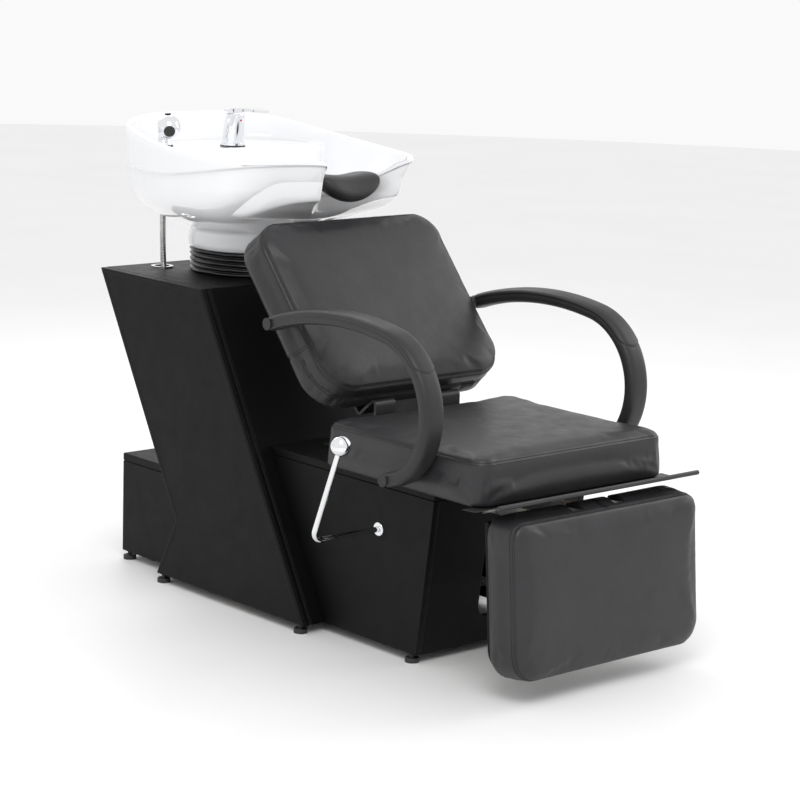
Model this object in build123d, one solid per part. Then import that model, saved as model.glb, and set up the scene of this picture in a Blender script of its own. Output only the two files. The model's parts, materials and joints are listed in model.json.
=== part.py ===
from build123d import *
from math import cos, pi, radians, sin, sqrt
import os

# Shampoo backwash unit: a Z-shaped cabinet carries a tilting ceramic basin, and a low box in
# front of it carries a fixed seat, back and arms with a leg rest that a side lever raises.
# Millimetres. +Z is up, the sitter faces -Y, X = 0 is the plane of symmetry, and -X is the
# sitter's right. The origin is the end of the waste spigot, at floor level.

# ---------------------------------------------------------------- driving dimensions
BOARD = 18.0                  # thickness of the cabinet boards
FOOT_HEIGHT = 18.0            # the boards stand this far off the floor

PEDESTAL_HALF = 275.0         # half width of the Z-shaped cabinet
PEDESTAL_TOP = 692.0
PEDESTAL_SIDE = [(-253, FOOT_HEIGHT), (280, FOOT_HEIGHT), (210, 155), (512, PEDESTAL_TOP), (127, PEDESTAL_TOP)]

BASE_HALF = 220.0             # half width of the seat box and of the rear box
BASE_TOP = 370.0
BASE_FRONT_FOOT_Y = -549.0    # the front of the seat box, at its foot and at its top
BASE_FRONT_TOP_Y = -591.0
SLOT_HALF = 57.0              # the slot in the front of the seat box that the link swings in
SLOT_LOW = 74.0
SLOT_HIGH = 290.0
REAR_BOX_BACK_Y = 493.0
REAR_BOX_TOP = 253.0

SEAT_HALF = 265.0
SEAT_FRONT_Y = -769.0
SEAT_REAR_Y = -290.0
SEAT_BOTTOM = 377.0
SEAT_THICK = 99.0

BACK_RECLINE = 40.5           # degrees from vertical
BACK_FOOT = (-284.0, 544.0)   # front seam of the back at its foot, Y and Z
BACK_HALF = 261.0
BACK_LOW = -28.0              # ends of the back, along its slope from BACK_FOOT
BACK_HIGH = 412.0
BACK_THICK = 80.0             # behind the front seam
BACK_CROWN = 16.0             # in front of it
BACK_BOARD = 12.0

ARM_X = 292.0                 # middle plane of an armrest
ARM_WIDE = 50.0
ARM_DEEP = 31.0
ARM_REAR = (-162.0, 661.0)    # centre of the rear end, Y and Z
ARM_HEADING = 160.9           # direction there, from +Y towards +Z
ARM_ARCS = [(712.0, 29.5), (154.0, 113.8), (121.0, 46.9)]   # radius and degrees of each arc
ARM_CAP_R = 13.0

LEG_TILT = 4.94               # the leg rest's face leans out by this many degrees going down
LEG_FACE_TOP = (-864.0, 368.0)
LEG_LONG = 325.2
LEG_HALF = 267.0
LEG_FOAM = 80.0
LEG_CROWN = 8.0
LEG_BOARD = 12.0

HINGE = (-820.0, 322.0)       # leg rest hinge axis, Y and Z
SHAFT = (-424.0, 261.0)       # lever shaft axis
CRANK = (55.0, -148.0)        # from either axis to the end of its crank
ARM_PLATE_X = 60.0            # middle plane of each fixed hinge arm
LEVER_X = -400.0
BALL = (-506.0, 473.0)
BALL_R = 21.0
ROD_R = 6.0

FLAP_HALF = 285.0
FLAP_LINE = [(-741, 375.5), (-771, 375.5), (-838, 397.0)]
FLAP_THICK = 3.0

TILT_AXIS = (312.0, 718.0)    # basin tilt axis
FOOT_R = 138.0                # ceramic foot
FOOT_BOTTOM = 748.0
CERAMIC = 12.0
WELL_FLOOR = 824.0
WELL_REAR_Y = 336.0
DECK_Z = 972.0
DECK_UNDER = 956.0
DRAIN_Y = 235.0
MIXER_Y = 381.0
MIXER_TOP = (374.5, 1043.4)   # middle of the mixer's turning cap, Y and Z
MIXER_LEAN = 7.0              # the cap's axis leans back by this many degrees
LIFT_PIN = (392.0, 1051.0)    # pin of the mixer's lever, Y and Z
SPRAY = (-149.0, 445.0)       # spray dock, X and Y
HOSE_R = 7.0
CAVITY_TOP = 812.0
BELLY_TOP = 890.0             # the walls are upright above this
BELLY_LOW = 806.0

SHANK_LOW = 925.0             # lower end of the mixer's threaded shank
HOSE_TOP = SHANK_LOW - 0.4

SUPPLY_X = 70.0
SUPPLY_Y = 60.0
RAIL_LOW = 44.0

RUN = 0.06                    # radial clearance of a running fit


# ---------------------------------------------------------------- helpers
def block(x0, x1, y0, y1, z0, z1):
    return Pos((x0 + x1) / 2, (y0 + y1) / 2, (z0 + z1) / 2) * Box(x1 - x0, y1 - y0, z1 - z0)


def rod_x(radius, x0, x1, y, z):
    return Pos((x0 + x1) / 2, y, z) * Rot(0, 90, 0) * Cylinder(radius, x1 - x0)


def rod_y(radius, y0, y1, x, z):
    return Pos(x, (y0 + y1) / 2, z) * Rot(90, 0, 0) * Cylinder(radius, y1 - y0)


def rod_z(radius, z0, z1, x, y):
    return Pos(x, y, (z0 + z1) / 2) * Cylinder(radius, z1 - z0)


def ring_z(outer, inner, z0, z1, x, y):
    return rod_z(outer, z0, z1, x, y) - rod_z(inner, z0 - 1, z1 + 1, x, y)


def side_plate(points, x0, x1):
    """A plate with this outline in Y and Z, from x0 to x1."""
    return Pos(x0, 0, 0) * extrude(Plane.YZ * make_face(Polyline(*points, close=True)), x1 - x0)


def both_sides(shape):
    return [shape, mirror(shape, about=Plane.YZ)]


def group(shapes):
    """Separate solids kept together in one node."""
    return Compound(children=[solid for shape in shapes for solid in shape.solids()])


def inset_outline(points, distance):
    """The closed outline moved inwards; its points run anticlockwise seen from +X."""
    lines = []
    count = len(points)
    for i in range(count):
        (y0, z0), (y1, z1) = points[i], points[(i + 1) % count]
        length = sqrt((y1 - y0) ** 2 + (z1 - z0) ** 2)
        ny, nz = -(z1 - z0) / length, (y1 - y0) / length
        lines.append((y0 + ny * distance, z0 + nz * distance, y1 - y0, z1 - z0))
    inner = []
    for i in range(count):
        ya, za, dya, dza = lines[i - 1]
        yb, zb, dyb, dzb = lines[i]
        t = ((yb - ya) * dzb - (zb - za) * dyb) / (dya * dzb - dza * dyb)
        inner.append((ya + dya * t, za + dza * t))
    return inner


def tube(points, radii, radius, bore=0.0):
    """A round bar or pipe along straight runs joined by arcs."""
    path = FilletPolyline(*points, radius=radii)
    profile = Circle(radius) - Circle(bore) if bore else Circle(radius)
    start = Plane(origin=path @ 0, z_dir=path % 0)
    return sweep(start * profile, path=path)


def bend_radii(points):
    """For each corner, 0.45 of its shorter run over the tangent of half the turn."""
    radii = []
    for before, corner, after in zip(points[:-2], points[1:-1], points[2:]):
        run_in = Vector(*corner) - Vector(*before)
        run_out = Vector(*after) - Vector(*corner)
        half_turn = radians(run_in.get_angle(run_out)) / 2
        radii.append(0.45 * min(run_in.length, run_out.length) / (sin(half_turn) / cos(half_turn)))
    print("bend radii", [round(r) for r in radii])
    return radii


def save(name, shape):
    shape.label = name
    export_step(shape, f"parts/{name}.step")


# ---------------------------------------------------------------- Z-shaped cabinet
def pedestal():
    outline = PEDESTAL_SIDE
    inner = inset_outline(outline, BOARD)
    inside = PEDESTAL_HALF - BOARD
    for side, x0 in (("right", -PEDESTAL_HALF), ("left", inside)):
        save(f"pedestal_side_{side}", side_plate(outline, x0, x0 + BOARD))

    def panel(i):
        j = (i + 1) % len(outline)
        return side_plate([outline[i], outline[j], inner[j], inner[i]], -inside, inside)

    save("pedestal_front", panel(4))
    save("pedestal_rear", group([panel(1), panel(2)]))
    # the top has one long opening for the waste and the supply hoses, and one for the spray hose
    opening = block(-60, 60, 195, 430, 600, 720)
    opening = fillet(opening.edges().filter_by(Axis.Z), 40)
    save("pedestal_top", panel(3) - opening - rod_z(20, 600, 720, *SPRAY))
    grommet = ring_z(26, 17, PEDESTAL_TOP, PEDESTAL_TOP + 4, *SPRAY)
    grommet += ring_z(20, 17, PEDESTAL_TOP - BOARD, PEDESTAL_TOP + 1, *SPRAY)
    save("hose_grommet", grommet)


# ---------------------------------------------------------------- seat box, rear box, feet
def front_y(z):
    """Outer face of the seat box's front, which leans out going up."""
    rise = (z - FOOT_HEIGHT) / (BASE_TOP - FOOT_HEIGHT)
    return BASE_FRONT_FOOT_Y + rise * (BASE_FRONT_TOP_Y - BASE_FRONT_FOOT_Y)


def pedestal_front_y(z):
    (foot_y, foot_z), (top_y, top_z) = PEDESTAL_SIDE[0], PEDESTAL_SIDE[4]
    return foot_y + (z - foot_z) / (top_z - foot_z) * (top_y - foot_y)


def seat_box():
    top = BASE_TOP - BOARD
    low = FOOT_HEIGHT
    inside = BASE_HALF - BOARD
    outline = [(front_y(low), low), (pedestal_front_y(low), low), (pedestal_front_y(top), top), (front_y(top), top)]
    for side, x0 in (("right", -BASE_HALF), ("left", inside)):
        save(f"base_side_{side}", side_plate(outline, x0, x0 + BOARD) - rod_x(12, x0 - 1, x0 + BOARD + 1, *SHAFT))
    front = side_plate([(front_y(low), low), (front_y(low) + BOARD, low), (front_y(top) + BOARD, top),
                        (front_y(top), top)], -inside, inside)
    slot = block(-SLOT_HALF, SLOT_HALF, -640, -500, SLOT_LOW, SLOT_HIGH)
    slot = fillet(slot.edges().filter_by(Axis.Y), 30)
    save("base_front", front - slot)
    cover = [(front_y(top), top), (pedestal_front_y(top), top), (pedestal_front_y(BASE_TOP), BASE_TOP),
             (front_y(BASE_TOP), BASE_TOP)]
    save("base_top", side_plate(cover, -BASE_HALF, BASE_HALF))


def rear_box():
    inside = BASE_HALF - BOARD
    top = REAR_BOX_TOP - BOARD
    (foot_y, foot_z), (knee_y, knee_z), (top_y, top_z) = PEDESTAL_SIDE[1:4]

    def wall_y(z):
        return knee_y + (z - knee_z) / (top_z - knee_z) * (top_y - knee_y)

    outline = [(foot_y, foot_z), (REAR_BOX_BACK_Y, foot_z), (REAR_BOX_BACK_Y, top), (wall_y(top), top),
               (knee_y, knee_z)]
    save("rear_box_sides", group(both_sides(side_plate(outline, inside, BASE_HALF))))
    back = block(-inside, inside, REAR_BOX_BACK_Y - BOARD, REAR_BOX_BACK_Y, foot_z, top)
    lid = [(wall_y(top), top), (REAR_BOX_BACK_Y, top), (REAR_BOX_BACK_Y, REAR_BOX_TOP),
           (wall_y(REAR_BOX_TOP), REAR_BOX_TOP)]
    save("rear_box_cover", group([back, side_plate(lid, -BASE_HALF, BASE_HALF)]))


def feet_and_rail():
    def foot(x, y):
        pad = rod_z(15, 0, 10, x, y)
        pad = fillet(pad.edges().group_by(Axis.Z)[-1], 2)
        return pad + rod_z(5, 9, FOOT_HEIGHT, x, y)

    edge = PEDESTAL_HALF - BOARD / 2
    box_edge = BASE_HALF - BOARD / 2
    places = [(edge, -232), (edge, 262), (box_edge, -528), (box_edge, 474)]
    save("levelling_feet", group([foot(sign * x, y) for x, y in places for sign in (-1, 1)]))
    inside = PEDESTAL_HALF - BOARD
    rail = block(-inside, inside, -30, 90, RAIL_LOW, RAIL_LOW + BOARD) - rod_z(19, 0, 90, 0, 0)
    for x in (-SUPPLY_X, SUPPLY_X):
        rail -= rod_z(6.5, 0, 90, x, SUPPLY_Y)
    save("service_rail", rail)


# ---------------------------------------------------------------- seat, back and arms
def soft_block(x_half, y0, y1, z0, z1, corner, top_edge, low_edge):
    shape = block(-x_half, x_half, y0, y1, z0, z1)
    shape = fillet(shape.edges().filter_by(Axis.Z), corner)
    shape = fillet(shape.edges().group_by(Axis.Z)[-1], top_edge)
    return fillet(shape.edges().group_by(Axis.Z)[0], low_edge)


def back_place():
    """Frame of the back: X across, Y up its slope, Z out of its front face."""
    lean = radians(BACK_RECLINE)
    return Plane(origin=(0, *BACK_FOOT), x_dir=(1, 0, 0), z_dir=(0, -cos(lean), sin(lean)))


def seat_and_back():
    save("seat_board", block(-200, 200, -740, -310, BASE_TOP, SEAT_BOTTOM))
    save("seat_cushion", soft_block(SEAT_HALF, SEAT_FRONT_Y, SEAT_REAR_Y, SEAT_BOTTOM, SEAT_BOTTOM + SEAT_THICK,
                                    45, 22, 6))
    frame = back_place().location
    save("back_cushion", frame * soft_block(BACK_HALF, BACK_LOW, BACK_HIGH, -BACK_THICK, BACK_CROWN, 82, 24, 10))
    board = block(-195, 195, 10, 360, -BACK_THICK - BACK_BOARD, -BACK_THICK)
    save("back_board", frame * fillet(board.edges().filter_by(Axis.Z), 60))


def bracket_strip():
    """A steel strip from the base top, up behind the seat and round the foot of the back."""
    lean = radians(BACK_RECLINE)

    def on_back(along, out):
        y = BACK_FOOT[0] + along * sin(lean) - out * cos(lean)
        z = BACK_FOOT[1] + along * cos(lean) + out * sin(lean)
        return (0, y, z)

    thick = 6.0
    behind = SEAT_REAR_Y + 1.5 + thick / 2
    under = BACK_LOW - 1 - thick / 2
    rear = -BACK_THICK - BACK_BOARD - thick / 2
    # the upright part meets the run under the foot of the back at this distance behind its front seam
    meet = (BACK_FOOT[0] + under * sin(lean) - behind) / cos(lean)
    points = [(0, -120, BASE_TOP + thick / 2), (0, behind, BASE_TOP + thick / 2), on_back(under, meet),
              on_back(under, rear), on_back(200, rear)]
    path = FilletPolyline(*points, radius=8)
    start = Plane(origin=path @ 0, x_dir=(1, 0, 0), z_dir=path % 0)
    return sweep(start * Rectangle(56, thick), path=path)


def arm_path():
    """The centre line of an armrest in Y and Z: three arcs, each tangent to the last."""
    lines = []
    y, z = ARM_REAR
    heading = ARM_HEADING
    for radius, turn in ARM_ARCS:
        arc = JernArc(start=(y, z), tangent=(cos(radians(heading)), sin(radians(heading))), radius=radius,
                      arc_size=turn)
        lines.append(arc)
        end = arc @ 1
        y, z = end.X, end.Y
        heading += turn
    return Plane.YZ * Wire([edge for arc in lines for edge in arc.edges()]), (y, z)


def armrests():
    path, lower_end = arm_path()
    section = RectangleRounded(ARM_WIDE, ARM_DEEP, 12)
    heading = radians(ARM_HEADING)
    start = Plane(origin=(0, *ARM_REAR), x_dir=(1, 0, 0), z_dir=(0, cos(heading), sin(heading)))
    arm = sweep(start * section, path=path)
    ends = [(ARM_REAR, BACK_HALF), (lower_end, SEAT_HALF)]
    inner_face = ARM_X - ARM_WIDE / 2
    caps = []
    left = Pos(ARM_X, 0, 0) * arm
    for (y, z), cushion_side in ends:
        left += rod_x(ARM_DEEP / 2, inner_face, ARM_X + ARM_WIDE / 2, y, z)
        left += rod_x(13, cushion_side, inner_face + 4, y, z)
        caps += both_sides(rod_x(ARM_CAP_R, ARM_X + ARM_WIDE / 2, ARM_X + ARM_WIDE / 2 + 4, y, z))
    save("armrest_left", left)
    save("armrest_right", mirror(left, about=Plane.YZ))
    save("arm_bolt_caps", group(caps))
    print("lower end of the arm", [round(v, 1) for v in lower_end])


def flap():
    """A thin skirt under the front of the seat, with a stiff rod in its hem."""
    (y0, z0), (y1, z1), (y2, z2) = FLAP_LINE
    half = FLAP_THICK / 2
    outline = [(y0, z0 - half), (y0, z0 + half), (y1, z1 + half), (y2, z2 + half), (y2, z2 - half), (y1, z1 - half)]
    save("gap_flap", side_plate(outline, -FLAP_HALF, FLAP_HALF))
    save("flap_rod", rod_x(3.5, -FLAP_HALF, FLAP_HALF, y2 - 3.5, z2))


# ---------------------------------------------------------------- leg rest and its lever
def leg_place():
    """Frame of the leg rest: X across, Y up its face, Z out of its front face."""
    tilt = radians(LEG_TILT)
    return Plane(origin=(0, *LEG_FACE_TOP), x_dir=(1, 0, 0), z_dir=(0, -cos(tilt), sin(tilt)))


def leg_rest():
    place = leg_place()
    frame = place.location
    local_hinge = place.to_local_coords(Vector(0, *HINGE))
    hinge_v, hinge_n = local_hinge.Y, local_hinge.Z
    back = -LEG_FOAM - LEG_BOARD
    # each hinge stands in a slot that is open at the back and at the top
    slots = [block(sign * ARM_PLATE_X - 16, sign * ARM_PLATE_X + 16, hinge_v - 24, 10, back - 1, hinge_n + 22)
             for sign in (-1, 1)]
    foam = block(-LEG_HALF, LEG_HALF, -LEG_LONG, 0, -LEG_FOAM, LEG_CROWN)
    corners = foam.edges().filter_by(Axis.Z)
    foam = fillet(corners.group_by(Axis.Y)[0], 60)
    foam = fillet(foam.edges().filter_by(Axis.Z).group_by(Axis.Y)[-1], 35)
    foam = fillet(foam.edges().group_by(Axis.Z)[-1], 22)
    board = block(-255, 255, -LEG_LONG + 14, -6, back, -LEG_FOAM)
    board = fillet(board.edges().filter_by(Axis.Z).group_by(Axis.Y)[0], 50)
    for slot in slots:
        foam -= slot
        board -= slot
    save("legrest_cushion", frame * foam)
    save("legrest_board", frame * board)

    # a channel lines each slot, and its two cheeks hold the hinge pin
    brackets = []
    pins = []
    for sign in (-1, 1):
        x = sign * ARM_PLATE_X
        outside = block(x - 16, x + 16, hinge_v - 24, -4, back, hinge_n + 22)
        hollow = block(x - 12, x + 12, hinge_v - 25, 0, back - 1, hinge_n + 18)
        cheeks = frame * (outside - hollow)
        brackets.append(cheeks - rod_x(5, x - 20, x + 20, *HINGE))
        pins.append(rod_x(5, x - 16, x + 16, *HINGE))
    save("legrest_brackets", group(brackets))

    # fixed arms reach from the seat box to the hinge
    arms = []
    for sign in (-1, 1):
        x = sign * ARM_PLATE_X
        foot_y = front_y(HINGE[1])
        plate = block(x - 4, x + 4, HINGE[0], foot_y + 2, HINGE[1] - 13, HINGE[1] + 13)
        plate += rod_x(13, x - 4, x + 4, *HINGE)
        flange = side_plate([(front_y(308) - 5, 308), (front_y(308), 308), (front_y(346), 346),
                             (front_y(346) - 5, 346)], x - 22, x + 22)
        beyond = side_plate([(front_y(300), 300), (front_y(300) + 30, 300), (front_y(350) + 30, 350),
                             (front_y(350), 350)], x - 30, x + 30)
        arms.append(plate + flange - beyond - rod_x(5 + RUN, x - 20, x + 20, *HINGE))
    save("hinge_arms", group(arms))

    # the clevis that the push link works on, and its pin
    eye = (HINGE[0] + CRANK[0], HINGE[1] + CRANK[1])
    local_eye = place.to_local_coords(Vector(0, *eye))
    ear = block(7, 11, local_eye.Y - 14, local_eye.Y + 14, local_eye.Z - 10, back)
    base = block(-30, 30, local_eye.Y - 18, local_eye.Y + 18, back - 3, back)
    clevis = frame * (base + ear + mirror(ear, about=Plane.YZ))
    save("link_clevis", clevis - rod_x(4, -20, 20, *eye))
    pins.append(rod_x(4, -11, 11, *eye))
    save("legrest_pins", group(pins))
    return eye


def lever(eye):
    ball = (LEVER_X, *BALL)
    elbow = (LEVER_X, *SHAFT)
    inner_end = (BASE_HALF, *SHAFT)
    save("lever_rod", tube([inner_end, elbow, ball], 26, ROD_R))
    knob = Pos(*ball) * Sphere(BALL_R)
    rise = Vector(0, BALL[0] - SHAFT[0], BALL[1] - SHAFT[1]).normalized()
    socket = Plane(origin=Vector(*ball) - rise * (BALL_R + 5), z_dir=rise)
    knob -= extrude(socket * Circle(ROD_R), BALL_R + 5)
    save("ball_knob", knob)

    bushes = []
    for x in (-BASE_HALF, BASE_HALF - BOARD):
        bush = rod_x(12, x, x + BOARD, *SHAFT)
        bushes.append(bush - rod_x(ROD_R + RUN, x - 5, x + BOARD + 5, *SHAFT))
    save("lever_bushes", group(bushes))
    plate = rod_x(15, -BASE_HALF - 5, -BASE_HALF, *SHAFT)
    plate = fillet(plate.edges().group_by(Axis.X)[0], 3)
    save("lever_escutcheon", plate - rod_x(ROD_R + 0.5, -BASE_HALF - 10, -BASE_HALF + 5, *SHAFT))

    crank_end = (SHAFT[0] + CRANK[0], SHAFT[1] + CRANK[1])
    along = Vector(0, *CRANK).normalized()
    across = Vector(0, -CRANK[1], CRANK[0]).normalized()
    middle = (Vector(0, *SHAFT) + Vector(0, *crank_end)) / 2
    strap = Plane(origin=middle, x_dir=along, z_dir=(1, 0, 0))
    reach = sqrt(CRANK[0] ** 2 + CRANK[1] ** 2)
    cheek = Pos(6, 0, 0) * extrude(strap * SlotCenterToCenter(reach, 22), 6)
    fork = cheek + mirror(cheek, about=Plane.YZ) + rod_x(13, -22, 22, *SHAFT)
    fork -= rod_x(ROD_R, -30, 30, *SHAFT)
    fork -= rod_x(4, -20, 20, *crank_end)
    save("crank_fork", fork)
    save("crank_pin", rod_x(4, -12, 12, *crank_end))

    link_along = (Vector(0, *eye) - Vector(0, *crank_end)).normalized()
    link_middle = (Vector(0, *eye) + Vector(0, *crank_end)) / 2
    span = (Vector(0, *eye) - Vector(0, *crank_end)).length
    flat = Plane(origin=link_middle, x_dir=link_along, z_dir=(1, 0, 0))
    link = Pos(-4, 0, 0) * extrude(flat * SlotCenterToCenter(span, 20), 8)
    link -= rod_x(4 + RUN, -10, 10, *crank_end)
    link -= rod_x(4.8, -10, 10, *eye)
    save("push_link", link)


# ---------------------------------------------------------------- basin
def bowl_skin(inset):
    """The outer form of the bowl, or the same form moved inwards."""
    corners = [(150, -122, 100), (252, 50, 130), (276, 200, 130), (276, 400, 130), (200, 570, 130)]
    right = [(x, y) for x, y, _ in corners]
    left = [(-x, y) for x, y in reversed(right)]
    plan = make_face(Polyline(*right, *left, close=True))
    for x, y, radius in corners:
        at_corner = [v for v in plan.vertices() if abs(abs(v.X) - x) < 0.1 and abs(v.Y - y) < 0.1]
        plan = fillet(at_corner, radius)
    if inset:
        plan = offset(plan, -inset)
    upper = Pos(0, 0, BELLY_TOP) * extrude(plan, 160)
    shrink = BELLY_TOP - BELLY_LOW - inset
    lower = loft([Pos(0, 0, BELLY_LOW + inset) * offset(plan, -shrink), Pos(0, 0, BELLY_TOP) * plan], ruled=True)
    # the underside slopes up to the front, over the top of the back
    rise = inset * 1.07
    under = side_plate([(160, 790), (160, 808 + rise), (-65, 890 + rise), (-300, 976 + rise), (-300, 790)], -400, 400)
    return upper + lower - under


def front_cutter(radius):
    """The slanted hollow in front of the bowl that the sitter's neck lies in."""
    slant = radians(40)
    centre = (0, -50 - 180 / cos(slant), 985)
    axis = Plane(origin=centre, z_dir=(0, sin(slant), -cos(slant)))
    return axis * Cylinder(radius, 700)


def basin():
    x_s, y_s = SPRAY
    inner = bowl_skin(CERAMIC)
    body = bowl_skin(0) + rod_z(FOOT_R, FOOT_BOTTOM, BELLY_LOW + 30, 0, TILT_AXIS[0])
    rim = ThreePointArc((-220, 994), (150, 981), (620, 1050)) + Polyline((620, 1050), (620, 1200), (-220, 1200),
                                                                        (-220, 994))
    body -= Pos(-400, 0, 0) * extrude(Plane.YZ * make_face(rim), 800)
    body -= front_cutter(180)
    well = inner & block(-300, 300, -300, WELL_REAR_Y, WELL_FLOOR, 1100)
    body -= well - front_cutter(180 + CERAMIC + 2)
    body -= inner & block(-300, 300, WELL_REAR_Y - 1, 620, DECK_Z, 1100)
    body -= rod_y(140, -240, 45, 0, 925 + 140)
    body -= inner & block(-300, 300, WELL_REAR_Y + 14, 620, 780, DECK_UNDER)
    body -= rod_z(FOOT_R - 16, FOOT_BOTTOM - 1, CAVITY_TOP, 0, TILT_AXIS[0])
    body -= block(-64, 64, WELL_REAR_Y + 16, 424, CAVITY_TOP - 5, CAVITY_TOP + 20)
    body -= rod_z(22, 780, WELL_FLOOR + 5, 0, DRAIN_Y)
    body -= rod_z(12, 940, DECK_Z + 5, 0, MIXER_Y)
    body -= rod_z(15, 760, DECK_Z + 5, x_s, y_s)
    save("basin_bowl", body)

    # a soft saddle over the front edge of the bowl
    pad = side_plate([(24, 968), (-40, 968), (-66, 925), (-60, 891), (-24, 889), (24, 930)], -88, 88)
    pad = fillet(pad.edges().filter_by(Axis.X), 8)
    pad -= rod_y(248, -120, 80, 0, 943 + 248)
    save("neck_rest", pad - body)

    # the steel plate under the foot, with the two ears that the basin tilts on
    axis_y, axis_z = TILT_AXIS
    opening = fillet(block(-60, 60, 204, 422, 700, 800).edges().filter_by(Axis.Z), 40)
    plate = rod_z(128, FOOT_BOTTOM - 6, FOOT_BOTTOM, 0, axis_y) - opening
    ear = block(76, 81, axis_y - 18, axis_y + 18, axis_z, FOOT_BOTTOM - 3) + rod_x(18, 76, 81, axis_y, axis_z)
    plate += ear + mirror(ear, about=Plane.YZ)
    save("basin_plate", plate - rod_x(6 + RUN, -200, 200, axis_y, axis_z))
    cheek = block(84, 89, axis_y - 18, axis_y + 18, PEDESTAL_TOP, axis_z) + rod_x(16, 84, 89, axis_y, axis_z)
    cheek += block(84, 112, axis_y - 30, axis_y + 30, PEDESTAL_TOP, PEDESTAL_TOP + 5)
    save("basin_bracket", group(both_sides(cheek - rod_x(6, 60, 120, axis_y, axis_z))))
    save("basin_pivot_pins", group(both_sides(rod_x(6, 74, 92, axis_y, axis_z))))

    # a pleated rubber skirt between the cabinet and the foot
    folds = 5
    pitch = (FOOT_BOTTOM - PEDESTAL_TOP) / folds
    profile = [(130, PEDESTAL_TOP), (130, FOOT_BOTTOM), (133, FOOT_BOTTOM)]
    for i in range(folds):
        z = FOOT_BOTTOM - pitch * i
        profile += [(138, z - pitch / 2), (133, z - pitch)]
    skirt = revolve(Plane.XZ * make_face(Polyline(*profile, close=True)), Axis.Z)
    save("bellows", Pos(0, axis_y, 0) * skirt)


def plumbing():
    # waste: strainer, nut and tailpiece move with the basin; the hose and the spigot are fixed
    strainer = rod_z(33, WELL_FLOOR, WELL_FLOOR + 3, 0, DRAIN_Y)
    strainer += ring_z(22, 18, 800, WELL_FLOOR + 1, 0, DRAIN_Y)
    hole = rod_z(4, WELL_FLOOR - 5, WELL_FLOOR + 5, 0, DRAIN_Y)
    strainer -= hole
    for i in range(6):
        strainer -= Pos(11 * cos(pi * i / 3), 11 * sin(pi * i / 3), 0) * hole
    save("drain_strainer", strainer)
    tailpiece = ring_z(18, 15, 704, 800, 0, DRAIN_Y) + ring_z(22, 15, 794, 800, 0, DRAIN_Y)
    save("drain_tailpiece", tailpiece)

    waste_points = [(0, DRAIN_Y, 690), (0, DRAIN_Y, 590), (0, 205, 480), (0, 130, 370), (0, 50, 260), (0, 0, 160),
                    (0, 0, 62)]
    hose = tube(waste_points, bend_radii(waste_points), 20, 16)
    hose += ring_z(31, 27, 690, 724, 0, DRAIN_Y) + ring_z(31, 16, 684, 690, 0, DRAIN_Y)
    save("waste_hose", hose)
    spigot = ring_z(20, 16, 0, 38, 0, 0) + ring_z(27, 16, 38, RAIL_LOW, 0, 0)
    spigot += ring_z(19, 16, RAIL_LOW - 1, RAIL_LOW + BOARD, 0, 0)
    save("waste_spigot", spigot)

    # two supply hoses hang from the mixer and end in union nuts under the rail
    points = [(9, MIXER_Y, HOSE_TOP), (12, MIXER_Y, 830), (30, MIXER_Y - 8, 740), (46, 345, 650), (62, 280, 560),
              (SUPPLY_X, 200, 460), (SUPPLY_X + 4, 130, 340), (SUPPLY_X, 80, 220), (SUPPLY_X, SUPPLY_Y, 130),
              (SUPPLY_X, SUPPLY_Y, RAIL_LOW)]
    save("supply_hoses", group(both_sides(tube(points, bend_radii(points), 6))))
    nut = Pos(SUPPLY_X, SUPPLY_Y, RAIL_LOW - 22) * extrude(RegularPolygon(15, 6), 22)
    nut -= rod_z(9.5, RAIL_LOW - 30, RAIL_LOW - 8, SUPPLY_X, SUPPLY_Y)
    save("supply_nuts", group(both_sides(nut)))


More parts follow.
